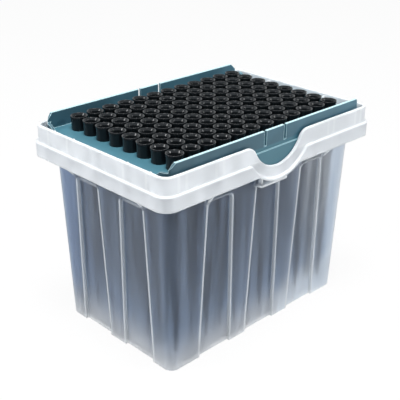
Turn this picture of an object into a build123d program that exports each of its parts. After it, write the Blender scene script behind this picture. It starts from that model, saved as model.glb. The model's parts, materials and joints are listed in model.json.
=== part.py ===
"""Box of pipette tips: an open translucent tub, a drop-in tray and 96 long tips in a 12 by 8 array.

Origin at the middle of the tub's underside, +Z up, +X along the 12 columns, row A at +Y.
"""
import os
from math import radians, tan

from build123d import *

# Array of tips
columns = 12
rows = 8
pitch = 9.0

# Tip
tip_length = 94.0
hub_height = 6.5            # from the tray's deck to the tip's rim
shank_radius = 2.85
hub_seat = 0.75             # hub's foot beyond the shank, which rests on the deck round the hole
hub_flare = 0.12            # hub's top beyond its foot
lip_step = 0.13             # lip beyond the hub's top
lip_height = 1.0
lip_wall = 0.35             # at the rim
middle_radius = 2.45
lower_radius = 1.85
point_radius = 0.6
middle_drop = 34.0          # below the deck
lower_drop = 64.0
socket_radius = 2.8
lead_in = 1.0
shank_wall = 0.4
point_wall = 0.3
hub_floor = 0.6             # socket's foot above the deck
tips_together = 2           # tips in one part file

# Tub
tub_floor = 1.6
point_gap = 5.2             # tip's point above the tub's floor
tub_wall = 1.3
wall_draft = 1.7            # degrees
body_corner = 4.5
foot_edge = 0.5             # rounding round the underside
end_overhang = 6.2          # rim's outside beyond the body's, on the short sides
side_overhang = 5.1
rim_rise = 7.7              # rim above the ledge
rim_wall = 1.5
rim_corner = 5.0
rim_edge = 0.4              # rounding of the rim's top
ledge_thickness = 1.3
ledge_step = 1.3            # skirt's outside beyond the rim's
ledge_edge = 0.5            # rounding of the ledge's outer edge
skirt_depth = 6.7           # below the ledge's top
skirt_wall = 1.3

# Recessed panels in the tub's walls
panel_depth = 1.25
panel_top_width = 14.2
panel_foot_width = 19.2
panel_top_gap = 12.5        # panel's top below the ledge's top
panel_corner = 3.0
panel_pitch = 30.0
long_side_panels = 3
short_side_panels = 2

# Finger notch in each long side
notch_radius = 16.2
notch_depth = 12.1          # below the rim's top
notch_band = 5.2            # rim wall left under the notch
notch_shoulder = 6.0
ledge_shoulder = 2.0

# Lid catch under each notch, and gussets behind the skirt
catch_length = 18.0
catch_depth = 4.0
catch_thickness = 1.2
catch_inset = 1.4           # web's centre from the catch's end
catch_web = 1.0
gusset_thickness = 1.2
gusset_drop = 14.5          # gusset's foot below the ledge's top
gusset_lift = 0.8           # gusset's corner above the skirt's foot

# Ribs inside the rim that keep the tray central
rib_width = 1.0
rib_top_gap = 1.2
rib_clearance = 0.25
side_rib_insets = (3.2, 7.4, 23.8, 28.0)  # from the tray's end
end_rib_insets = (9.5, 23.5)              # from the tray's side

# Tray
end_margin = 12.5           # last tip's axis to the tray's end
side_margin = 10.05
tray_end_gap = 2.3          # tray to the rim's inside, on the short sides
tray_side_gap = 0.95
tray_corner = 5.0
tray_wall = 1.2
deck_thickness = 1.8
deck_rise = 4.3             # deck's top above the ledge
wall_rise = 7.5             # long walls above the deck
hole_clearance = 0.1
wall_end_gap = 4.2          # flat top's end to the tray's end
wall_end_drop = 2.7         # 45-degree cut at each end of a long wall
lip_rise = 3.4              # low lip round the corner, above the deck
lip_run = 9.5               # along the short side, from the tray's side
lip_inset = 0.4
slot_width = 1.5
slot_spacing = 12.8
slot_floor = 0.6            # slot's foot above the deck
thumb_length = 48.0
thumb_clearance = 0.2       # thumb plate to the rim's inside
thumb_top_drop = 1.2        # below the deck's top
thumb_gap = 0.9             # thumb plate to the notch's band
thumb_depth = 6.2           # below the ledge
deck_rib_thickness = 1.2
deck_rib_depth = 2.2

# Levels
point_z = tub_floor + point_gap
tip_rim_z = point_z + tip_length
deck_z = tip_rim_z - hub_height
ledge_z = deck_z - deck_rise
rim_z = ledge_z + rim_rise
skirt_foot_z = ledge_z - skirt_depth
panel_top_z = ledge_z - panel_top_gap
catch_z = panel_top_z + 0.1
gusset_foot_z = ledge_z - gusset_drop
notch_z = rim_z - notch_depth + notch_radius
tray_top_z = deck_z + wall_rise
thumb_top_z = deck_z - thumb_top_drop
thumb_foot_z = ledge_z - thumb_depth

# Outlines, as half lengths and half widths
tray_x = (columns - 1) * pitch / 2 + end_margin
tray_y = (rows - 1) * pitch / 2 + side_margin
rim_in_x = tray_x + tray_end_gap
rim_in_y = tray_y + tray_side_gap
rim_x = rim_in_x + rim_wall
rim_y = rim_in_y + rim_wall
skirt_x = rim_x + ledge_step
skirt_y = rim_y + ledge_step
skirt_corner = rim_corner + ledge_step
body_x = rim_x - end_overhang
body_y = rim_y - side_overhang
slope = tan(radians(wall_draft))
thumb_y = rim_in_y - thumb_clearance

# Tip's radii
hub_foot_radius = shank_radius + hub_seat
hub_top_radius = hub_foot_radius + hub_flare
lip_radius = hub_top_radius + lip_step
mouth_radius = lip_radius - lip_wall


def rounded_block(half_x, half_y, corner, low_z, high_z):
    """Straight block with rounded upright edges."""
    with BuildPart() as block:
        with BuildSketch(Plane.XY.offset(low_z)):
            RectangleRounded(2 * half_x, 2 * half_y, corner)
        extrude(amount=high_z - low_z)
    return block.part


def wall_ring(half_x, half_y, corner, wall, low_z, high_z):
    """Upright wall round a rounded rectangle, given by its outside."""
    with BuildPart() as ring:
        with BuildSketch(Plane.XY.offset(low_z)):
            RectangleRounded(2 * half_x, 2 * half_y, corner)
            RectangleRounded(2 * (half_x - wall), 2 * (half_y - wall), corner - wall, mode=Mode.SUBTRACT)
        extrude(amount=high_z - low_z)
    return ring.part


def drafted_block(inset, low_z, high_z):
    """Block with the tub wall's draft, its sides a given distance inside the wall's outer face."""
    with BuildPart() as block:
        for level in (low_z, high_z):
            shrink = inset + (ledge_z - level) * slope
            with BuildSketch(Plane.XY.offset(level)):
                RectangleRounded(2 * (body_x - shrink), 2 * (body_y - shrink), body_corner - inset)
        loft()
    return block.part


def panel_prisms(plane, count, reach, grow):
    """Prisms along the plane's normal where the recessed panels are, grown by a wall."""
    half_top = panel_top_width / 2 + grow
    half_foot = panel_foot_width / 2 + grow
    top = panel_top_z + grow
    lean = (half_foot - half_top) / top
    with BuildPart() as prisms:
        for index in range(count):
            centre = (index - (count - 1) / 2) * panel_pitch
            with BuildSketch(plane):
                with BuildLine():
                    FilletPolyline(
                        (centre - half_foot - lean, -1),
                        (centre - half_top, top),
                        (centre + half_top, top),
                        (centre + half_foot + lean, -1),
                        radius=panel_corner + grow,
                    )
                    Line((centre + half_foot + lean, -1), (centre - half_foot - lean, -1))
                make_face()
            extrude(amount=reach, both=True)
    return prisms.part


def notch_prism(radius, level, shoulder):
    """The space of both finger notches: a round that opens upwards at a level, with rounded shoulders."""
    with BuildPart() as prism:
        with BuildSketch(Plane.XZ) as face:
            with Locations((0, notch_z)):
                Circle(radius)
            with Locations((0, level)):
                Rectangle(4 * radius, 2 * radius, align=(Align.CENTER, Align.MIN))
            meets = face.vertices().filter_by(lambda corner: abs(corner.X) < 1.5 * radius)
            fillet(meets.filter_by(lambda corner: abs(corner.Y - level) < 0.01), radius=shoulder)
        extrude(amount=skirt_y + 1, both=True)
    return prism.part


def crosswise(plane, half_thickness, points):
    """Plate of a given outline, centred on a plane."""
    with BuildPart() as plate:
        with BuildSketch(plane):
            Polygon(*points, align=None)
        extrude(amount=half_thickness, both=True)
    return plate.part


# Tub's body: drafted walls with recessed panels
with BuildPart() as body:
    add(drafted_block(0, 0, ledge_z))
    add(panel_prisms(Plane.XZ, long_side_panels, body_y + 1, 0), mode=Mode.SUBTRACT)
    add(panel_prisms(Plane.YZ, short_side_panels, body_x + 1, 0), mode=Mode.SUBTRACT)
    add(drafted_block(panel_depth, 0, ledge_z))

with BuildPart() as cavity:
    add(drafted_block(tub_wall, tub_floor, ledge_z + 1))
    add(panel_prisms(Plane.XZ, long_side_panels, body_y + 1, tub_wall), mode=Mode.SUBTRACT)
    add(panel_prisms(Plane.YZ, short_side_panels, body_x + 1, tub_wall), mode=Mode.SUBTRACT)
    add(drafted_block(tub_wall + panel_depth, tub_floor, ledge_z + 1))

# Rim: a wall on the ledge that dips into a band round each finger notch
band_radius = notch_radius + notch_band
band_foot_z = notch_z - band_radius
with BuildPart() as rim:
    add(wall_ring(rim_x, rim_y, rim_corner, rim_wall, band_foot_z - 1, ledge_z))
    add(notch_prism(band_radius, ledge_z, ledge_shoulder), mode=Mode.INTERSECT)
    add(wall_ring(rim_x, rim_y, rim_corner, rim_wall, ledge_z, rim_z))
    add(notch_prism(notch_radius, rim_z, notch_shoulder), mode=Mode.SUBTRACT)
    fillet(rim.edges().group_by(Axis.Z)[-1], radius=rim_edge)

# Ledge with its skirt: dips under the notches as a curved strip of the same thickness
with BuildPart() as ledge:
    add(rounded_block(skirt_x, skirt_y, skirt_corner, ledge_z - ledge_thickness, ledge_z))
    add(wall_ring(skirt_x, skirt_y, skirt_corner, skirt_wall, skirt_foot_z, ledge_z))
    with BuildSketch(Plane.XZ):
        with Locations((0, notch_z)):
            Circle(band_radius + ledge_thickness)
        with Locations((0, ledge_z)):
            Rectangle(4 * band_radius, 4 * band_radius, align=(Align.CENTER, Align.MIN), mode=Mode.SUBTRACT)
    extrude(amount=skirt_y, both=True)
    add(notch_prism(band_radius, ledge_z, ledge_shoulder), mode=Mode.SUBTRACT)
    top_edges = ledge.edges().group_by(Axis.Z)[-1]
    fillet(
        top_edges.filter_by(
            lambda edge: abs(edge.center().X) > skirt_x - skirt_corner
            or abs(edge.center().Y) > skirt_y - skirt_corner
        ),
        radius=ledge_edge,
    )

# Catch for the lid's clip: a shelf under each notch, hung on two webs
catch_front = body_y - (ledge_z - catch_z) * slope + catch_depth
catch_back = catch_front - catch_depth - panel_depth - tub_wall / 2
web_x = catch_length / 2 - catch_inset
web_top = notch_z - ((band_radius + ledge_thickness / 2) ** 2 - web_x**2) ** 0.5
with BuildPart() as catch:
    with Locations((0, catch_back, catch_z)):
        Box(
            catch_length, catch_front - catch_back, catch_thickness,
            align=(Align.CENTER, Align.MIN, Align.MAX),
        )
    fillet(catch.edges().filter_by(Axis.Z).group_by(Axis.Y)[-1], radius=catch_inset)
    for side in (-1, 1):
        with Locations((side * web_x, catch_back, catch_z)):
            Box(
                catch_web, catch_front - catch_back - catch_inset / 2, web_top - catch_z,
                align=(Align.CENTER, Align.MIN, Align.MIN),
            )
    mirror(about=Plane.XZ)

# Gussets between the body and the skirt, beside the outermost panels
long_side_gusset = (long_side_panels - 1) / 2 * panel_pitch + panel_top_width / 2 + gusset_thickness
short_side_gusset = (short_side_panels - 1) / 2 * panel_pitch + panel_top_width / 2 + gusset_thickness
gusset_top_z = ledge_z - ledge_thickness / 2
gusset_lean = gusset_drop * slope
with BuildPart() as gussets:
    for half, skirt_half, plane, place in (
        (body_y, skirt_y, Plane.YZ, long_side_gusset),
        (body_x, skirt_x, Plane.XZ, short_side_gusset),
    ):
        root = half - tub_wall / 2
        reach = skirt_half - skirt_wall / 2
        outline = (
            (root, gusset_top_z), (reach, gusset_top_z),
            (reach, skirt_foot_z + gusset_lift), (root - gusset_lean, gusset_foot_z),
        )
        for side in (-1, 1):
            add(crosswise(plane.offset(side * place), gusset_thickness / 2, outline))
    mirror(about=Plane.XZ)
    mirror(about=Plane.YZ)

# Ribs inside the rim that centre the tray
with BuildPart() as ribs:
    rib_height = rim_rise - rib_top_gap
    for inset in side_rib_insets:
        with Locations((tray_x - inset, rim_in_y + rim_wall / 2, ledge_z)):
            Box(
                rib_width, tray_side_gap - rib_clearance + rim_wall / 2, rib_height,
                align=(Align.CENTER, Align.MAX, Align.MIN),
            )
    for inset in end_rib_insets:
        with Locations((rim_in_x + rim_wall / 2, tray_y - inset, ledge_z)):
            Box(
                tray_end_gap - rib_clearance + rim_wall / 2, rib_width, rib_height,
                align=(Align.MAX, Align.CENTER, Align.MIN),
            )
    mirror(about=Plane.XZ)
    mirror(about=Plane.YZ)

with BuildPart() as tub:
    add(body.part)
    add(ledge.part)
    add(notch_prism(band_radius, ledge_z, ledge_shoulder), mode=Mode.SUBTRACT)
    add(catch.part)
    add(gussets.part)
    add(cavity.part, mode=Mode.SUBTRACT)
    add(rim.part)
    add(ribs.part)
    fillet(tub.edges().group_by(Axis.Z)[0], radius=foot_edge)

# Thumb plates on the tray, which stand in the finger notches
with BuildPart() as thumbs:
    with BuildSketch(Plane.XZ.offset(tray_y - tray_wall)):
        with Locations((0, notch_z)):
            Circle(band_radius - thumb_gap)
        with Locations((0, thumb_foot_z)):
            Rectangle(thumb_length, ledge_z - thumb_foot_z, align=(Align.CENTER, Align.MIN), mode=Mode.INTERSECT)
        with Locations((0, ledge_z)):
            Rectangle(thumb_length, thumb_top_z - ledge_z, align=(Align.CENTER, Align.MIN))
    extrude(amount=thumb_y - tray_y + tray_wall)
    mirror(about=Plane.XZ)

# What is cut from the tray's wall: 45-degree ends on the long sides, low lips on the short ones
above_z = tray_top_z + 1
flat_end = tray_x - wall_end_gap
lip_z = deck_z + lip_rise
long_cut = crosswise(Plane.XZ, tray_y + 1, (
    (flat_end, above_z), (flat_end, tray_top_z), (flat_end + wall_end_drop, tray_top_z - wall_end_drop),
    (tray_x + 1, lip_z), (tray_x + 1, above_z),
))
lip_start = tray_y - lip_run
lip_full = tray_y - tray_corner
wall_in_y = tray_y - tray_wall - lip_inset
short_cut = crosswise(Plane.YZ, tray_x + 1, (
    (-lip_start, deck_z), (lip_start, deck_z), (lip_full, lip_z), (wall_in_y, lip_z),
    (wall_in_y, above_z), (-wall_in_y, above_z), (-wall_in_y, lip_z), (-lip_full, lip_z),
))

# Tray: pierced deck in a wall that stands high on the long sides and low at the corners
with BuildPart() as tray:
    add(wall_ring(tray_x, tray_y, tray_corner, tray_wall, ledge_z, tray_top_z))
    add(long_cut, mode=Mode.SUBTRACT)
    add(mirror(long_cut, about=Plane.YZ, mode=Mode.PRIVATE), mode=Mode.SUBTRACT)
    add(short_cut, mode=Mode.SUBTRACT)
    # Deck
    add(rounded_block(tray_x, tray_y, tray_corner, deck_z - deck_thickness, deck_z))
    # Slots that free a spring tongue in the middle of each long wall
    with BuildSketch(Plane.XZ):
        with Locations(*[(side * slot_spacing / 2, deck_z + slot_floor) for side in (-1, 1)]):
            Rectangle(slot_width, above_z - deck_z, align=(Align.CENTER, Align.MIN))
    extrude(amount=tray_y + 1, both=True, mode=Mode.SUBTRACT)
    add(thumbs.part)
    # Ribs under the deck, between the holes
    with BuildSketch(Plane.XY.offset(deck_z - deck_thickness)):
        with GridLocations(0, 2 * pitch, 1, rows // 2 - 1):
            Rectangle(2 * (tray_x - tray_wall), deck_rib_thickness)
        with GridLocations(4 * pitch, 0, columns // 4, 1):
            Rectangle(deck_rib_thickness, 2 * (tray_y - tray_wall))
    extrude(amount=-deck_rib_depth)
    # Holes
    with BuildSketch(Plane.XY.offset(deck_z)):
        with GridLocations(pitch, pitch, columns, rows):
            Circle(shank_radius + hole_clearance)
    extrude(amount=-2 * deck_thickness, mode=Mode.SUBTRACT)

# Tip: flared hub with a thin lip, then a long shank that narrows to its point
with BuildPart() as tip:
    with BuildSketch(Plane.XZ):
        lip_foot = tip_rim_z - lip_height
        socket_top = tip_rim_z - lead_in
        socket_foot = deck_z + hub_floor
        middle_z = deck_z - middle_drop
        lower_z = deck_z - lower_drop
        with BuildLine():
            Polyline(
                (mouth_radius, tip_rim_z), (lip_radius, tip_rim_z), (lip_radius, lip_foot),
                (hub_top_radius, lip_foot), (hub_foot_radius, deck_z), (shank_radius, deck_z),
                (middle_radius, middle_z), (lower_radius, lower_z), (point_radius, point_z),
                (point_radius - point_wall, point_z), (lower_radius - shank_wall, lower_z),
                (middle_radius - shank_wall, middle_z), (shank_radius - shank_wall, deck_z - hub_floor),
                (socket_radius, socket_foot), (socket_radius, socket_top), (mouth_radius, tip_rim_z),
            )
        make_face()
    revolve(axis=Axis.Z)

# Parts of the box
os.makedirs("parts", exist_ok=True)
tub.part.label = "tub"
export_step(tub.part, "parts/tub.step")
tray.part.label = "tray"
export_step(tray.part, "parts/tray.step")

# Tips stand in pairs of neighbouring rows: a1 and b1, c1 and d1, and so on along each column
row_letters = "abcdefghijklmnop"
for column in range(columns):
    for row in range(0, rows, tips_together):
        column_x = (column - (columns - 1) / 2) * pitch
        members = range(row, min(row + tips_together, rows))
        with BuildPart() as group:
            with Locations(*[(column_x, ((rows - 1) / 2 - member) * pitch) for member in members]):
                add(tip.part)
        name = "_".join(["tips"] + [f"{row_letters[member]}{column + 1}" for member in members])
        group.part.label = name
        export_step(group.part, f"parts/{name}.step")
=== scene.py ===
"""Box of pipette tips: a frosted tub, a teal tray and 96 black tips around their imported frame."""

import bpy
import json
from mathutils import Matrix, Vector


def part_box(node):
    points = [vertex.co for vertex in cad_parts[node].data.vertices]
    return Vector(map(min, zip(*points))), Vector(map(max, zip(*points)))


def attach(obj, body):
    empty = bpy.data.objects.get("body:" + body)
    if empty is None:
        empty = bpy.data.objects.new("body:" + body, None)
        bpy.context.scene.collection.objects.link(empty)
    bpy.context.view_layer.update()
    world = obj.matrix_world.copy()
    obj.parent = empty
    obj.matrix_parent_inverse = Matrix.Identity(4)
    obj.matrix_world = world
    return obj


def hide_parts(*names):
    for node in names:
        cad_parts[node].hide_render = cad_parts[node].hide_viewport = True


bl_info = {
    "name": "Box of pipette tips",
    "version": (1, 0, 0),
    "blender": (4, 5, 0),
    "location": "View3D > Sidebar > Tip Box",
    "description": "Finishes the tub, the tray and the tips of a lab tip box on their packed frame",
    "category": "Add Mesh",
}

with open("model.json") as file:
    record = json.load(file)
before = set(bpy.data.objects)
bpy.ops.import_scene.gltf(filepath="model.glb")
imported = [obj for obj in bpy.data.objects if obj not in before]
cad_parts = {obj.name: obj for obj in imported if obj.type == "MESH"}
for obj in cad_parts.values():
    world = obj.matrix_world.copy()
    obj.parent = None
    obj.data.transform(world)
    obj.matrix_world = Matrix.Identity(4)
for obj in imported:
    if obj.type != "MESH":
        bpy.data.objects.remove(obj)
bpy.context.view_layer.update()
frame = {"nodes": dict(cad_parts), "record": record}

import json
import math

import bmesh
import bpy
from bpy.props import FloatProperty, FloatVectorProperty, IntProperty, PointerProperty
from mathutils import Vector

MM = 0.001

tub_low, tub_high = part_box("tub")
tray_low, tray_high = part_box("tray")
tip_low, tip_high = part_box("tips_a1_b1")
tip_nodes = sorted(name for name in frame["nodes"] if name.startswith("tips_"))
tip_mounts = {
    mount["name"]: mount for mount in frame["record"]["mounts"] if mount["name"].startswith("tip_")
}
socket = tip_mounts["tip_a1"]["dims"]

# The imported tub's and tips' own sizes
END_OVERHANG = 7.5 * MM     # how far the rim stands out beyond the body at each end
SIDE_OVERHANG = 6.4 * MM    # and on each side
RIM_HEIGHT = 7.7 * MM       # from the ledge to the rim's crest
PANEL_DROP = 20.2 * MM      # from the rim's crest down to the tops of the recessed panels
HUB_HEIGHT = 6.5 * MM       # from the tray's deck to a tip's rim
SIDE_PANELS = 3             # recessed panels in each long side
END_PANELS = 2              # and in each end

POLYPROPYLENE_IOR = 1.45
WHITE = (1, 1, 1, 1)

# Textures, in the piece's own space
STREAKS = {"scale": 170, "stretch": (1, 1, 0.09)}
SCUFFS = {"scale": 75, "stretch": (1, 1, 0.6)}
MOTTLE = {"scale": 150, "stretch": (1, 1, 0.7)}
FROST = {"scale": 90, "stretch": (1, 1, 0.3)}
WAVES = {"scale": 160, "detail": 1.0, "stretch": (1, 1, 0.15)}
CLOUDS = {"scale": 40}
SPARK_GRAIN = {"scale": 2600, "detail": 2.0}
FLOW_MARKS = {"scale": 500, "stretch": (1, 1, 0.08)}
FINE_GRAIN = {"scale": 1800}

# The values of a texture between which its effect goes from none to full
STREAK_SPAN = (0.3, 0.7)
SCUFF_SPAN = (0.44, 0.64)
MOTTLE_SPAN = (0.35, 0.65)
CLOUD_SPAN = (0.25, 0.75)

# How nearly the rounded normal agrees with the flat one: on an edge, and on a plain face
TUB_EDGE_SPAN = (0.90, 0.995)
TRAY_EDGE_SPAN = (0.85, 0.99)

# Where a painted highlight line is full and where it ends: the panels' lines in line widths, the ledge's
# in blurs
PANEL_LINE_SPAN = (1 / 3, 1)
LEDGE_LINE_SPAN = (0.8, 2.2)
LINE_FADE = 1.0 * MM        # over which a line fades out at its end

# Name, place, side and power of each lamp
LAMPS = (
    ("key", (-0.14, -0.14, 1.02), 0.35, 9.9),
    ("fill", (0.41, -0.66, 0.62), 0.12, 2.4),
    ("side", (-0.66, 0.41, 0.62), 0.20, 2.9),
)


# Sizes and colours that a user may change

def colour_setting(name, description, default):
    """A colour that a user may change."""
    return FloatVectorProperty(
        name=name, description=description, subtype="COLOR", size=3, min=0, max=1, default=default,
    )


def share_setting(name, description, default):
    """A share from 0 to 1 that a user may change."""
    return FloatProperty(
        name=name, description=description, subtype="FACTOR", min=0, max=1, default=default,
    )


def length_setting(name, description, default):
    """A length that a user may change."""
    return FloatProperty(name=name, description=description, unit="LENGTH", min=0, default=default)


class TubSettings(bpy.types.PropertyGroup):
    """Finish of the frosted tub."""

    # The walls' colour is partly the plastic's blue tint and partly painted shade for the black tips that
    # stand behind the walls
    colour: colour_setting("Colour", "Colour of the body's walls", (0.37, 0.48, 0.65))
    # Painted light: the paler foot colour stands in for light passing under the tips' points
    foot_colour: colour_setting("Foot colour", "Colour of the walls at their foot", (0.70, 0.73, 0.77))
    # Painted light: the walls' colour turns paler towards the +X end, standing in for light that comes in
    # through that end
    lit_end_colour: colour_setting(
        "Thin colour", "Colour of the walls where they are clearest", (0.85, 0.92, 1.0),
    )
    rim_colour: colour_setting("Rim colour", "Colour of the milky rim and skirt", (0.87, 0.91, 0.95))
    # Painted highlights: the colour painted along the moulded edges, ribs, panel lines, ledge and crest
    edge_colour: colour_setting(
        "Edge colour", "Colour of the light that gathers in the moulded edges", (0.93, 0.97, 1.0),
    )
    wall_milk: share_setting("Wall milk", "Share of light that the body's walls scatter back", 0.125)
    # Painted light: the foot's extra milk pales the walls where light passes under the tips' points
    foot_milk: share_setting("Foot milk", "Share of light that the foot scatters back", 0.30)
    skirt_milk: share_setting("Skirt milk", "Share of light that the skirt scatters back", 0.68)
    hem_milk: share_setting("Hem milk", "Share that the skirt's hem scatters back besides", 0.12)
    skirt_top_fade: share_setting("Skirt top fade", "Share that the skirt loses under the ledge", 0.10)
    rim_milk: share_setting("Rim milk", "Share of light that the rim scatters back", 0.76)
    # Painted highlight: how far the painted edge, rib, panel, ledge and crest highlights whiten the
    # plastic
    edge_milk: share_setting("Edge milk", "Share of light that the moulded edges scatter back", 0.85)
    corner_milk: share_setting("Corner milk", "Share that the body's lowest corners add", 0.30)
    streak_milk: share_setting("Streak milk", "Share that the walls' streaks add or take away", 0.12)
    scuff_milk: share_setting("Scuff milk", "Share that the scuffs near the foot add", 0.35)
    mottle_milk: share_setting("Mottle milk", "Share that the rim's mottle adds or takes away", 0.12)
    roughness: share_setting("Roughness", "Frosting of the rim and skirt", 0.42)
    wall_roughness: share_setting("Wall roughness", "Frosting of the body's walls", 0.30)
    roughness_change: share_setting("Roughness change", "How far the frosting varies", 0.03)
    # Painted highlights: how bright the painted edges, ledge line, crest and panel lines are
    wall_edges: share_setting("Wall edges", "How bright the body's edges are beside the rim's", 0.45)
    ledge_line: share_setting("Ledge line", "How bright the line along the ledge is", 0.9)
    crest_line: share_setting("Crest line", "How bright the rim's crest is", 0.9)
    panel_line: share_setting("Panel line", "How bright the lines of the recessed panels are", 0.8)
    panel_top_line: share_setting("Panel top line", "A panel's top line beside its side lines", 0.7)
    edge_width: length_setting("Edge width", "Width over which a moulded edge gathers light", 1.4 * MM)
    line_width: length_setting("Line width", "Width of the bright line along a panel's edge", 0.9 * MM)
    blur: length_setting("Blur", "Width over which one part's finish turns into the next", 0.4 * MM)
    body_length: length_setting(
        "Body length", "Body's length under the ledge", tub_high.x - tub_low.x - 2 * END_OVERHANG,
    )
    body_width: length_setting(
        "Body width", "Body's width under the ledge", tub_high.y - tub_low.y - 2 * SIDE_OVERHANG,
    )
    ledge: length_setting("Ledge", "Height of the ledge above the base", tub_high.z - RIM_HEIGHT)
    skirt_height: length_setting("Skirt height", "Height of the skirt under the ledge", 9.0 * MM)
    foot_height: length_setting(
        "Foot height", "Height over which the foot's colour fades out", 24.0 * MM,
    )
    scuff_height: length_setting("Scuff height", "Height over which the scuffs fade out", 14.0 * MM)
    corner_height: length_setting(
        "Corner height", "Height over which the corners' milk fades out", 16.0 * MM,
    )
    corner_start: length_setting("Corner start", "How far from a corner its milk begins", 16.0 * MM)
    corner_full: length_setting("Corner full", "How far from a corner its milk is full", 3.0 * MM)
    # Where the painted light towards the +X end begins, and how it shifts at the foot, the top and along
    # the streaks
    lit_end_start: length_setting(
        "Thin start", "Place along the body from which its walls grow clearer", 20.0 * MM,
    )
    lit_end_foot: FloatProperty(
        name="Thin foot", description="How much nearer the clear part begins at the foot, in foot heights",
        min=0, default=1.25,
    )
    lit_end_top: length_setting("Thin top", "How much nearer the clear part begins at the top", 12.0 * MM)
    lit_end_streaks: length_setting(
        "Thin streaks", "How far the streaks shift the clear part's start", 12.0 * MM,
    )
    # Places and strengths of the bright bars painted into the rim where ribs stand behind it
    side_ribs: FloatVectorProperty(
        name="Side ribs", description="Ribs behind the rim's long sides, from the tray's end",
        unit="LENGTH", size=4, default=(3.2 * MM, 7.4 * MM, 23.8 * MM, 28.0 * MM),
    )
    end_ribs: FloatVectorProperty(
        name="End ribs", description="Ribs behind the rim's short sides, from the tray's side",
        unit="LENGTH", size=2, default=(9.5 * MM, 23.5 * MM),
    )
    rib_strengths: FloatVectorProperty(
        name="Rib strengths", description="How bright each rib shows through the rim",
        size=4, min=0, max=1, default=(1.0, 0.9, 0.75, 0.65),
    )
    rib_width: length_setting("Rib width", "Width of the ribs behind the rim", 1.0 * MM)
    panel_pitch: length_setting(
        "Panel pitch", "Distance between the recessed panels' centres", 30.0 * MM,
    )
    panel_top: length_setting("Panel top", "Height of the panels' tops", tub_high.z - PANEL_DROP)
    # The ends' painted top lines are drawn this much lower than the panels' tops
    end_drop: length_setting(
        "End drop", "How much lower the top line of the ends' panels is", 1.5 * MM,
    )
    panel_top_width: length_setting("Panel top width", "Panel's width at its top", 14.2 * MM)
    panel_foot_width: length_setting("Panel foot width", "Panel's width at its foot", 19.2 * MM)
    wave_height: length_setting("Wave height", "Height of the walls' waves", 0.05 * MM)
    wave_strength: share_setting("Wave strength", "How much the waves turn the light", 0.15)
    gloss: share_setting("Gloss", "Strength of the reflections", 0.35)


class TraySettings(bpy.types.PropertyGroup):
    """Finish of the teal tray."""

    colour: colour_setting("Colour", "Colour of the deck", (0.066, 0.192, 0.250))
    deck_change: share_setting("Deck change", "How far the deck's shade varies", 0.10)
    # Painted shade: the walls are a darker copy of the deck's teal, for the shade on their upright faces
    wall_colour: colour_setting(
        "Wall colour", "Colour of the walls round the deck", (0.057, 0.150, 0.205),
    )
    wall_change: share_setting("Wall change", "How far the walls' shade varies", 0.28)
    deep_end: FloatProperty(
        name="Deep end", description="Shift of the walls' shade at one end", default=-0.65,
    )
    pale_end: FloatProperty(
        name="Pale end", description="Shift of the walls' shade at the other end", default=0.5,
    )
    # Painted highlights: the colour painted along the tray's edges and the walls' crest
    edge_colour: colour_setting("Edge colour", "Colour along the tray's edges", (0.55, 0.80, 0.86))
    edge_width: length_setting("Edge width", "Width over which an edge catches light", 0.5 * MM)
    deck: length_setting("Deck", "Height of the deck's top", tip_high.z - HUB_HEIGHT)
    crest_height: length_setting("Crest height", "Height of the pale crest of the walls", 0.3 * MM)
    crest_blur: length_setting("Crest blur", "Height over which the crest fades in", 0.2 * MM)
    smoothest: share_setting("Smoothest", "Lowest roughness of the grain", 0.38)
    roughest: share_setting("Roughest", "Highest roughness of the grain", 0.50)
    grain_height: length_setting("Grain height", "Height of the grain", 0.03 * MM)
    grain_strength: share_setting("Grain strength", "How much the grain turns the light", 0.3)


class TipSettings(bpy.types.PropertyGroup):
    """Shape and finish of one pipette tip. Heights are measured down from the rim or the deck."""

    colour: colour_setting("Colour", "Colour of the plastic", (0.011, 0.0135, 0.016))
    deep: FloatProperty(name="Deep", description="Shade of the darkest flow marks", min=0, default=0.8)
    pale: FloatProperty(name="Pale", description="Shade of the palest flow marks", min=0, default=1.6)
    smoothest: share_setting("Smoothest", "Lowest roughness", 0.07)
    roughest: share_setting("Roughest", "Highest roughness", 0.13)
    gloss: share_setting("Gloss", "Strength of the reflections", 0.20)
    grain_height: length_setting("Grain height", "Height of the grain", 0.02 * MM)
    grain_strength: share_setting("Grain strength", "How much the grain turns the light", 0.2)
    lip_height: length_setting("Lip height", "Height of the lip round the mouth", 1.0 * MM)
    mouth_radius: length_setting("Mouth radius", "Radius of the mouth at the rim", 3.50 * MM)
    lead_in: length_setting("Lead-in", "Depth of the mouth's funnel", 1.0 * MM)
    hub_top_radius: length_setting("Hub top radius", "Hub's radius under the lip", 3.72 * MM)
    hub_foot_radius: length_setting("Hub foot radius", "Hub's radius on the deck", 3.60 * MM)
    hub_height: length_setting("Hub height", "Rim's height above the deck", HUB_HEIGHT)
    shank_radius: length_setting("Shank radius", "Shank's radius under the deck", 2.85 * MM)
    middle_radius: length_setting("Middle radius", "Shank's radius at its first bend", 2.45 * MM)
    middle_drop: length_setting("Middle drop", "First bend below the deck", 34.0 * MM)
    lower_radius: length_setting("Lower radius", "Shank's radius at its second bend", 1.85 * MM)
    lower_drop: length_setting("Lower drop", "Second bend below the deck", 64.0 * MM)
    point_radius: length_setting("Point radius", "Radius at the point", 0.6 * MM)
    wall: length_setting("Wall", "Wall of the shank", 0.4 * MM)
    point_wall: length_setting("Point wall", "Wall at the point", 0.3 * MM)
    corner: length_setting("Corner", "Rounding of the profile's corners", 0.22 * MM)
    corner_steps: IntProperty(
        name="Corner steps", description="Faces across each rounded corner", min=1, max=8, default=3,
    )
    facets: IntProperty(
        name="Facets", description="Facets round each tip", min=8, max=96, default=40,
    )


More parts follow.
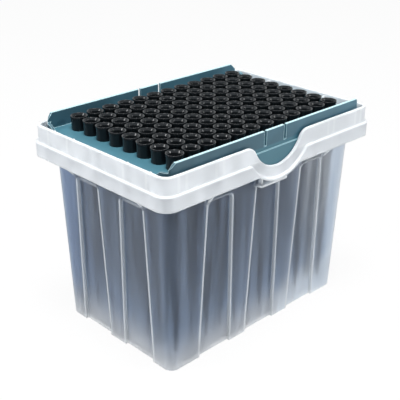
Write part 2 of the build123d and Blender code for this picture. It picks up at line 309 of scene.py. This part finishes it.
class StudioSettings(bpy.types.PropertyGroup):
    """Camera, floor and surround."""

    camera_place: FloatVectorProperty(
        name="Camera place", description="Where the camera stands", subtype="TRANSLATION",
        unit="LENGTH", size=3, default=(-0.2549, -0.2558, 0.2212),
    )
    camera_turn: FloatVectorProperty(
        name="Camera turn", description="How the camera is turned", subtype="EULER", size=3,
        default=(math.radians(65.12), math.radians(-0.34), math.radians(-44.25)),
    )
    lens: FloatProperty(
        name="Lens", description="Focal length in millimetres on a 36 mm frame", min=10, default=74.0,
    )
    near: length_setting("Near", "Nearest distance that the camera shows", 0.01)
    floor_size: length_setting("Floor size", "Side of the floor", 6.0)
    floor_colour: colour_setting("Floor colour", "Colour of the floor", (0.86, 0.87, 0.88))
    floor_roughness: share_setting("Floor roughness", "Roughness of the floor", 0.9)
    floor_glow: share_setting("Floor glow", "Share of plain white that the floor shows", 0.93)
    surround: share_setting("Surround", "Strength of the surround's light on matt faces", 0.15)


# Node trees

class Wiring:
    """Short calls that add nodes to one node tree and link them."""

    def __init__(self, tree):
        self.tree = tree

    def join(self, value, target):
        """Links a socket to an input, or sets the input to a plain value."""
        if isinstance(value, bpy.types.NodeSocket):
            self.tree.links.new(value, target)
        else:
            target.default_value = value

    def node(self, kind, **settings):
        """A node of one kind with its settings made."""
        made = self.tree.nodes.new(kind)
        for name, value in settings.items():
            setattr(made, name, value)
        return made

    def feed(self, node, **inputs):
        """Gives a node its inputs by name. An underscore stands for a space."""
        for name, value in inputs.items():
            self.join(value, node.inputs[name.replace("_", " ")])
        return node

    def place(self):
        """Position in the piece's own space, which is the row frame at rest."""
        return self.node("ShaderNodeTexCoord").outputs["Object"]

    def axes(self, place):
        """The three parts of a position, by axis."""
        split = self.feed(self.node("ShaderNodeSeparateXYZ"), Vector=place)
        return {axis: split.outputs[axis] for axis in "XYZ"}

    def noise(self, place, scale, detail=3.0, stretch=(1, 1, 1)):
        """Noise from 0 to 1, drawn out along an axis by a small stretch there."""
        mapping = self.feed(self.node("ShaderNodeMapping"), Vector=place, Scale=stretch)
        texture = self.node("ShaderNodeTexNoise")
        self.feed(texture, Vector=mapping.outputs[0], Scale=scale, Detail=detail)
        return texture.outputs["Fac"]

    def spread(self, value, low, high, from_low=0.0, from_high=1.0, smooth=False):
        """A value mapped from one range to another and kept within it."""
        kind = "SMOOTHSTEP" if smooth else "LINEAR"
        mapped = self.node("ShaderNodeMapRange", interpolation_type=kind)
        self.feed(mapped, Value=value, From_Min=from_low, From_Max=from_high, To_Min=low, To_Max=high)
        return mapped.outputs["Result"]

    def maths(self, operation, *values):
        """One operation on two values, or on more in turn."""
        result = values[0]
        for value in values[1:]:
            made = self.node("ShaderNodeMath", operation=operation)
            self.join(result, made.inputs[0])
            self.join(value, made.inputs[1])
            result = made.outputs[0]
        return result

    def total(self, *values):
        """All the values added up."""
        return self.maths("ADD", *values)

    def less(self, first, second):
        """The first value less the second."""
        return self.maths("SUBTRACT", first, second)

    def product(self, *values):
        """All the values multiplied."""
        return self.maths("MULTIPLY", *values)

    def largest(self, *values):
        """The largest of the values."""
        return self.maths("MAXIMUM", *values)

    def smallest(self, *values):
        """The smallest of the values."""
        return self.maths("MINIMUM", *values)

    def unsigned(self, value):
        """A value without its sign."""
        return self.maths("ABSOLUTE", value, 0)

    def blend(self, share, first, second):
        """A mix of two colours by a share."""
        mix = self.node("ShaderNodeMix", data_type="RGBA")
        self.join(share, mix.inputs["Factor"])
        ends = [made for made in mix.inputs if made.type == "RGBA"]
        for target, colour in zip(ends, (first, second)):
            plain = not isinstance(colour, bpy.types.NodeSocket)
            self.join((*colour, 1) if plain else colour, target)
        return next(made for made in mix.outputs if made.type == "RGBA")

    def moulded_edges(self, width, low, high):
        """1 along the edges of a moulding and 0 on its faces, with the rounded normal."""
        rounding = self.feed(self.node("ShaderNodeBevel", samples=8), Radius=width)
        flat = self.node("ShaderNodeNewGeometry")
        likeness = self.node("ShaderNodeVectorMath", operation="DOT_PRODUCT")
        self.join(rounding.outputs[0], likeness.inputs[0])
        self.join(flat.outputs["Normal"], likeness.inputs[1])
        mask = self.spread(likeness.outputs["Value"], 1, 0, low, high, smooth=True)
        return mask, rounding.outputs[0]

    def bump(self, strength, distance, height, **normal):
        """A normal turned by a height."""
        made = self.node("ShaderNodeBump")
        self.feed(made, Strength=strength, Distance=distance, Height=height, **normal)
        return made.outputs[0]

    def seen_directly(self):
        """1 for the camera, in gloss and through glass, and 0 for light on matt faces."""
        path = self.node("ShaderNodeLightPath")
        rays = ("Is Camera Ray", "Is Glossy Ray", "Is Transmission Ray")
        return self.largest(*(path.outputs[ray] for ray in rays))


def fresh_material(name):
    """A material with one Principled shader, and the wiring of its tree."""
    material = bpy.data.materials.new(name)
    material.use_nodes = True
    return material, material.node_tree.nodes["Principled BSDF"], Wiring(material.node_tree)


def shaded(colour, factor):
    """A colour made deeper or paler by a factor."""
    return tuple(factor * part for part in colour)


# Finishes

def painted_rib_bars(wire, axes, along, across, settings):
    """Painted highlight: how strongly a bright bar is painted into the rim where a rib stands behind it,
    on its long sides and on its short ones.
    """
    half = settings.rib_width / 2
    sides = (
        ("X", tray_high.x, settings.side_ribs, along, across),
        ("Y", tray_high.y, settings.end_ribs, across, along),
    )
    bars = 0.0
    for axis, end, insets, own, other in sides:
        place = wire.unsigned(axes[axis])
        facing = wire.spread(wire.less(other, own), 0, 1, 0, LINE_FADE)
        for inset, strength in zip(insets, settings.rib_strengths):
            away = wire.unsigned(wire.less(place, end - inset))
            bar = wire.spread(away, strength, 0, half, 2 * half, smooth=True)
            bars = wire.largest(bars, wire.product(bar, facing))
    return bars


def painted_panel_lines(wire, axes, along, across, settings):
    """Painted highlight lines: 1 along the sloping sides of the recessed panels, and a little less along
    their tops.
    """
    height = axes["Z"]
    line_span = [share * settings.line_width for share in PANEL_LINE_SPAN]
    pitch = settings.panel_pitch
    half = wire.spread(
        height, settings.panel_foot_width / 2, settings.panel_top_width / 2, 0, settings.panel_top,
    )
    outer = wire.total(half, settings.line_width / 2)
    walls = (
        ("X", SIDE_PANELS, 0, along, across), ("Y", END_PANELS, settings.end_drop, across, along),
    )
    lines = 0.0
    for axis, count, drop, own, other in walls:
        reach = count * pitch / 2
        shift = pitch / 2 if count % 2 else pitch
        place = wire.total(wire.spread(axes[axis], -reach, reach, -reach, reach), shift)
        place = wire.less(wire.maths("FLOORED_MODULO", place, pitch), pitch / 2)
        beyond = wire.less(wire.unsigned(place), outer)
        top = settings.panel_top - drop
        side_line = wire.product(
            wire.spread(wire.unsigned(beyond), 1, 0, *line_span, smooth=True),
            wire.spread(height, 1, 0, top - LINE_FADE, top, smooth=True),
        )
        off_top = wire.unsigned(wire.less(height, top - LINE_FADE / 2))
        top_line = wire.product(
            wire.spread(off_top, settings.panel_top_line, 0, *line_span, smooth=True),
            wire.spread(beyond, 1, 0, -LINE_FADE, 0),
        )
        facing = wire.spread(wire.less(other, own), 0, 1, 0, LINE_FADE)
        lines = wire.largest(lines, wire.product(wire.largest(side_line, top_line), facing))
    return lines


def frosted_plastic(settings):
    """Frosted polypropylene: smoky in the walls, milky in the rim, with painted shade in the walls' blue,
    painted light at the foot and towards one end, and painted white highlights along each moulded edge.
    """
    material, shader, wire = fresh_material("frosted_polypropylene")
    place = wire.place()
    axes = wire.axes(place)
    height = axes["Z"]
    blur = settings.blur
    ledge = settings.ledge

    # Where each part of the tub is. The flange is the rim, the ledge, the skirt and the catch,
    # which stand outside the body's walls
    along = wire.less(wire.unsigned(axes["X"]), settings.body_length / 2)
    across = wire.less(wire.unsigned(axes["Y"]), settings.body_width / 2)
    flange = wire.spread(wire.largest(along, across), 0, 1, blur, 4 * blur, smooth=True)
    body = wire.less(1.0, flange)
    upper = wire.spread(height, 0, 1, ledge - blur, ledge + blur, smooth=True)
    low = wire.spread(height, 1, 0, 0, settings.foot_height, smooth=True)
    streaks = wire.noise(place, **STREAKS)

    # The milk of the plain faces
    skirt_milk = wire.spread(
        height, settings.skirt_milk + settings.hem_milk, settings.skirt_milk - settings.skirt_top_fade,
        ledge - settings.skirt_height, ledge,
    )
    flange_milk = wire.spread(upper, skirt_milk, settings.rim_milk)
    # Painted light: the walls grow milkier towards the foot, where light passes under the tips' points
    wall_milk = wire.spread(
        height, settings.foot_milk, settings.wall_milk, 0, settings.foot_height, smooth=True,
    )
    streak_milk = wire.spread(streaks, -settings.streak_milk, settings.streak_milk, *STREAK_SPAN)
    scuff_milk = wire.spread(wire.noise(place, **SCUFFS), 0, settings.scuff_milk, *SCUFF_SPAN)
    scuffed = wire.spread(height, 1, 0, 0, settings.scuff_height, smooth=True)
    corner_milk = wire.spread(
        wire.smallest(along, across), 0, settings.corner_milk,
        -settings.corner_start, -settings.corner_full, smooth=True,
    )
    cornered = wire.spread(height, 1, 0, 0, settings.corner_height, smooth=True)
    mottle_milk = wire.spread(
        wire.noise(place, **MOTTLE), -settings.mottle_milk, settings.mottle_milk, *MOTTLE_SPAN,
    )
    milk = wire.total(
        wall_milk, wire.product(flange, flange_milk), wire.product(streak_milk, body),
        wire.product(scuff_milk, scuffed), wire.product(corner_milk, cornered),
        wire.product(mottle_milk, flange),
    )

    # Painted highlights: the light that gathers in edges, ribs and steps, painted into the colour and the
    # milk
    edge, rounded_normal = wire.moulded_edges(settings.edge_width, *TUB_EDGE_SPAN)
    edge = wire.product(edge, wire.spread(flange, settings.wall_edges, 1))
    # Painted highlight along the ledge
    off_ledge = wire.unsigned(wire.less(height, ledge))
    ledge_span = [share * blur for share in LEDGE_LINE_SPAN]
    ledge_line = wire.product(
        flange, wire.spread(off_ledge, settings.ledge_line, 0, *ledge_span, smooth=True),
    )
    # Painted highlight along the rim's crest
    crest = wire.spread(
        height, 0, settings.crest_line, tub_high.z - 2 * blur, tub_high.z - blur, smooth=True,
    )
    # Painted highlight: bright bars where ribs stand behind the rim
    ribs = wire.product(upper, painted_rib_bars(wire, axes, along, across, settings))
    # Painted highlight lines along the recessed panels
    panels = wire.product(body, painted_panel_lines(wire, axes, along, across, settings), settings.panel_line)
    bright = wire.largest(edge, panels, ribs, ledge_line, crest)
    milk = wire.largest(milk, wire.product(bright, settings.edge_milk))
    wire.feed(shader, Transmission_Weight=wire.largest(wire.less(1.0, milk), 0.0))

    # Painted light: the walls' colour grows paler towards one end, sooner at the foot and at the top,
    # standing in for light that comes in through that end
    reach = wire.total(
        axes["X"], wire.product(low, settings.lit_end_foot * settings.foot_height),
        wire.spread(height, 0, settings.lit_end_top, settings.panel_top / 2, settings.panel_top),
        wire.spread(streaks, -settings.lit_end_streaks, settings.lit_end_streaks, *STREAK_SPAN),
    )
    lit_end = wire.spread(reach, 0, 1, settings.lit_end_start, settings.body_length / 2, smooth=True)
    # Painted shade and painted light: the walls' blue stands partly for the dark tips behind them, and the
    # paler foot colour for light passing under the tips' points
    wall = wire.blend(low, settings.colour, settings.foot_colour)
    wall = wire.blend(lit_end, wall, settings.lit_end_colour)
    colour = wire.blend(flange, wall, settings.rim_colour)
    # Painted highlights whiten the colour along the edges, ribs, panel lines, ledge and crest
    wire.feed(shader, Base_Color=wire.blend(bright, colour, settings.edge_colour))

    rough = wire.total(
        wire.spread(wire.noise(place, **FROST), -settings.roughness_change, settings.roughness_change),
        wire.spread(flange, settings.wall_roughness, settings.roughness),
    )
    normal = wire.bump(
        settings.wave_strength, settings.wave_height, wire.noise(place, **WAVES), Normal=rounded_normal,
    )
    wire.feed(shader, Roughness=rough, Normal=normal)
    shader.inputs["IOR"].default_value = POLYPROPYLENE_IOR
    shader.inputs["Specular IOR Level"].default_value = settings.gloss
    return material


def tray_plastic(settings):
    """Satin teal plastic with a fine spark-eroded grain, walls painted a darker teal than the deck as
    painted shade, and painted highlights along its edges and the walls' crest.
    """
    material, shader, wire = fresh_material("teal_polypropylene")
    place = wire.place()
    axes = wire.axes(place)
    clouds = wire.spread(wire.noise(place, **CLOUDS), 0, 1, *CLOUD_SPAN)
    deck = wire.blend(
        clouds, shaded(settings.colour, 1 - settings.deck_change),
        shaded(settings.colour, 1 + settings.deck_change),
    )
    paler = wire.spread(axes["X"], settings.deep_end, settings.pale_end, tray_low.x, tray_high.x)
    # Painted shade: everything above the deck takes the darker wall teal
    walls = wire.blend(
        wire.total(clouds, paler), shaded(settings.wall_colour, 1 - settings.wall_change),
        shaded(settings.wall_colour, 1 + settings.wall_change),
    )
    above = wire.spread(axes["Z"], 0, 1, settings.deck, settings.deck + MM)
    crest_foot = tray_high.z - settings.crest_height
    crest = wire.spread(axes["Z"], 0, 1, crest_foot, crest_foot + settings.crest_blur)
    # Painted highlights along the tray's edges and the walls' crest
    edge, rounded_normal = wire.moulded_edges(settings.edge_width, *TRAY_EDGE_SPAN)
    pale = wire.largest(edge, crest)
    grain = wire.noise(place, **SPARK_GRAIN)
    wire.feed(
        shader,
        Base_Color=wire.blend(pale, wire.blend(above, deck, walls), settings.edge_colour),
        Roughness=wire.spread(grain, settings.smoothest, settings.roughest),
        Normal=wire.bump(settings.grain_strength, settings.grain_height, grain, Normal=rounded_normal),
    )
    return material


def tip_plastic(settings):
    """Glossy black plastic with faint flow marks along the tip."""
    material, shader, wire = fresh_material("black_polypropylene")
    place = wire.place()
    flow = wire.noise(place, **FLOW_MARKS)
    grain = wire.noise(place, **FINE_GRAIN)
    deep = shaded(settings.colour, settings.deep)
    pale = shaded(settings.colour, settings.pale)
    wire.feed(
        shader,
        Base_Color=wire.blend(flow, deep, pale),
        Roughness=wire.spread(flow, settings.smoothest, settings.roughest),
        Normal=wire.bump(settings.grain_strength, settings.grain_height, grain),
    )
    shader.inputs["Specular IOR Level"].default_value = settings.gloss
    return material


# Shapes

def rounded_loop(points, radius, steps, least_bend=math.radians(12), most_reach=0.45):
    """A closed profile with each real corner turned into a short arc."""
    loop = []
    count = len(points)
    for index, point in enumerate(points):
        corner = Vector(point)
        before = Vector(points[index - 1]) - corner
        after = Vector(points[(index + 1) % count]) - corner
        bend = math.pi - before.angle(after)
        if bend < least_bend:
            loop.append(corner)
            continue
        shortest = min(before.length, after.length)
        reach = min(radius * math.tan(bend / 2), most_reach * shortest)
        start = corner + before.normalized() * reach
        end = corner + after.normalized() * reach
        for step in range(steps + 1):
            share = step / steps
            loop.append(start.lerp(corner, share).lerp(corner.lerp(end, share), share))
    return loop


def turned(shape, profile, axis_x, axis_y, facets):
    """Adds a closed profile of radius and height, turned round an upright axis, to a mesh being built."""
    rings = []
    for facet in range(facets):
        angle = 2 * math.pi * facet / facets
        rings.append([
            shape.verts.new((axis_x + radius * math.cos(angle), axis_y + radius * math.sin(angle), height))
            for radius, height in profile
        ])
    count = len(profile)
    for facet, ring in enumerate(rings):
        following = rings[(facet + 1) % facets]
        for index in range(count):
            after = (index + 1) % count
            shape.faces.new((ring[index], following[index], following[after], ring[after]))


def mesh_piece(name, shape, material, sharp=math.radians(35)):
    """Turns a mesh being built into an object with smooth faces and true sharp edges."""
    bmesh.ops.recalc_face_normals(shape, faces=shape.faces)
    for face in shape.faces:
        face.smooth = True
    for edge in shape.edges:
        edge.smooth = edge.calc_face_angle(0) < sharp
    mesh = bpy.data.meshes.new(name)
    shape.to_mesh(mesh)
    shape.free()
    mesh.materials.append(material)
    piece = bpy.data.objects.new(name, mesh)
    bpy.context.scene.collection.objects.link(piece)
    return piece


def tip_profile(settings):
    """Radius and height of a tip's section, from the rim's inside round its outside and up its bore."""
    rim = tip_high.z
    point = tip_low.z
    deck = rim - settings.hub_height
    lip_radius = (tip_high.x - tip_low.x) / 2
    socket_radius = socket["r_mm"] * MM
    socket_foot = rim - settings.lead_in - socket["length_mm"] * MM
    middle = deck - settings.middle_drop
    lower = deck - settings.lower_drop
    return [
        (settings.mouth_radius, rim), (lip_radius, rim), (lip_radius, rim - settings.lip_height),
        (settings.hub_top_radius, rim - settings.lip_height), (settings.hub_foot_radius, deck),
        (settings.shank_radius, deck), (settings.middle_radius, middle), (settings.lower_radius, lower),
        (settings.point_radius, point), (settings.point_radius - settings.point_wall, point),
        (settings.lower_radius - settings.wall, lower), (settings.middle_radius - settings.wall, middle),
        (settings.shank_radius - settings.wall, socket_foot - settings.wall),
        (socket_radius, socket_foot), (socket_radius, rim - settings.lead_in),
    ]


# Operators

class TIPBOX_OT_tub(bpy.types.Operator):
    """Give the tub its frosted plastic"""

    bl_idname = "tipbox.tub"
    bl_label = "Finish tub"

    def execute(self, context):
        material = frosted_plastic(context.scene.tipbox_tub)
        frame["nodes"]["tub"].material_slots[0].material = material
        return {"FINISHED"}


class TIPBOX_OT_tray(bpy.types.Operator):
    """Give the tray its teal plastic"""

    bl_idname = "tipbox.tray"
    bl_label = "Finish tray"

    def execute(self, context):
        material = tray_plastic(context.scene.tipbox_tray)
        frame["nodes"]["tray"].material_slots[0].material = material
        return {"FINISHED"}


class TIPBOX_OT_tips(bpy.types.Operator):
    """Turn the tips, a pair for each of the frame's tip nodes"""

    bl_idname = "tipbox.tips"
    bl_label = "Turn tips"

    def execute(self, context):
        settings = context.scene.tipbox_tips
        material = tip_plastic(settings)
        profile = rounded_loop(tip_profile(settings), settings.corner, settings.corner_steps)
        for node_name in tip_nodes:
            shape = bmesh.new()
            for place in node_name.split("_")[1:]:
                x, y, _ = tip_mounts["tip_" + place]["pos_m"]
                turned(shape, profile, x, y, settings.facets)
            piece = mesh_piece(node_name.replace("tips", "turned_tips"), shape, material)
            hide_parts(node_name)
            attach(piece, "tray")
        return {"FINISHED"}


class TIPBOX_OT_stage(bpy.types.Operator):
    """Set up the camera, the pale floor and the soft studio light"""

    bl_idname = "tipbox.stage"
    bl_label = "Set stage"

    def execute(self, context):
        settings = context.scene.tipbox_studio
        self.add_camera(context.scene, settings)
        self.add_floor(context.scene, settings)
        self.add_world(context.scene, settings)
        self.add_lamps(context.scene)
        context.scene.view_settings.view_transform = "Standard"
        return {"FINISHED"}

    def add_camera(self, scene, settings):
        """The camera, at the height of a person who looks down at a bench."""
        camera = bpy.data.objects.new("camera", bpy.data.cameras.new("camera"))
        camera.location = settings.camera_place
        camera.rotation_euler = settings.camera_turn
        camera.data.lens = settings.lens
        camera.data.clip_start = settings.near
        scene.collection.objects.link(camera)
        scene.camera = camera

    def add_floor(self, scene, settings):
        """A white floor that still keeps a soft shadow."""
        half = settings.floor_size / 2
        mesh = bpy.data.meshes.new("floor")
        corners = [(-half, -half, 0), (half, -half, 0), (half, half, 0), (-half, half, 0)]
        mesh.from_pydata(corners, [], [(0, 1, 2, 3)])
        floor = bpy.data.objects.new("floor", mesh)
        material, shader, wire = fresh_material("pale_floor")
        shader.inputs["Base Color"].default_value = (*settings.floor_colour, 1)
        shader.inputs["Roughness"].default_value = settings.floor_roughness
        glow = wire.node("ShaderNodeEmission")
        mix = wire.node("ShaderNodeMixShader")
        wire.join(wire.product(wire.seen_directly(), settings.floor_glow), mix.inputs["Fac"])
        wire.join(shader.outputs[0], mix.inputs[1])
        wire.join(glow.outputs[0], mix.inputs[2])
        wire.join(mix.outputs[0], wire.tree.nodes["Material Output"].inputs["Surface"])
        mesh.materials.append(material)
        scene.collection.objects.link(floor)

    def add_world(self, scene, settings):
        """A white surround for the camera, gloss and glass, and a softer light for the rest."""
        world = bpy.data.worlds.new("studio")
        world.use_nodes = True
        wire = Wiring(world.node_tree)
        white = world.node_tree.nodes["Background"]
        strength = wire.spread(wire.seen_directly(), settings.surround, 1.0)
        wire.feed(white, Color=WHITE, Strength=strength)
        scene.world = world

    def add_lamps(self, scene):
        """A large soft box overhead and a smaller one on each side."""
        target = Vector((0, 0, tub_high.z / 2))
        for name, place, side, power in LAMPS:
            light = bpy.data.lights.new(name, "AREA")
            light.shape = "SQUARE"
            light.size = side
            light.energy = power
            lamp = bpy.data.objects.new(name, light)
            lamp.location = place
            lamp.rotation_euler = (target - Vector(place)).to_track_quat("-Z", "Y").to_euler()
            scene.collection.objects.link(lamp)


class TIPBOX_PT_panel(bpy.types.Panel):
    """Steps that build the box of pipette tips"""

    bl_idname = "TIPBOX_PT_panel"
    bl_label = "Tip Box"
    bl_space_type = "VIEW_3D"
    bl_region_type = "UI"
    bl_category = "Tip Box"

    def draw(self, context):
        for operator in OPERATORS:
            self.layout.operator(operator.bl_idname)


SETTINGS = {
    "tipbox_tub": TubSettings,
    "tipbox_tray": TraySettings,
    "tipbox_tips": TipSettings,
    "tipbox_studio": StudioSettings,
}
OPERATORS = (TIPBOX_OT_stage, TIPBOX_OT_tub, TIPBOX_OT_tray, TIPBOX_OT_tips)


def register():
    for name, group in SETTINGS.items():
        bpy.utils.register_class(group)
        setattr(bpy.types.Scene, name, PointerProperty(type=group))
    for made in (*OPERATORS, TIPBOX_PT_panel):
        bpy.utils.register_class(made)


def unregister():
    for made in (TIPBOX_PT_panel, *reversed(OPERATORS)):
        bpy.utils.unregister_class(made)
    for name, group in SETTINGS.items():
        delattr(bpy.types.Scene, name)
        bpy.utils.unregister_class(group)


def main():
    """Builds the whole scene."""
    register()
    bpy.ops.tipbox.stage()
    bpy.ops.tipbox.tub()
    bpy.ops.tipbox.tray()
    bpy.ops.tipbox.tips()


if __name__ == "__main__":
    main()
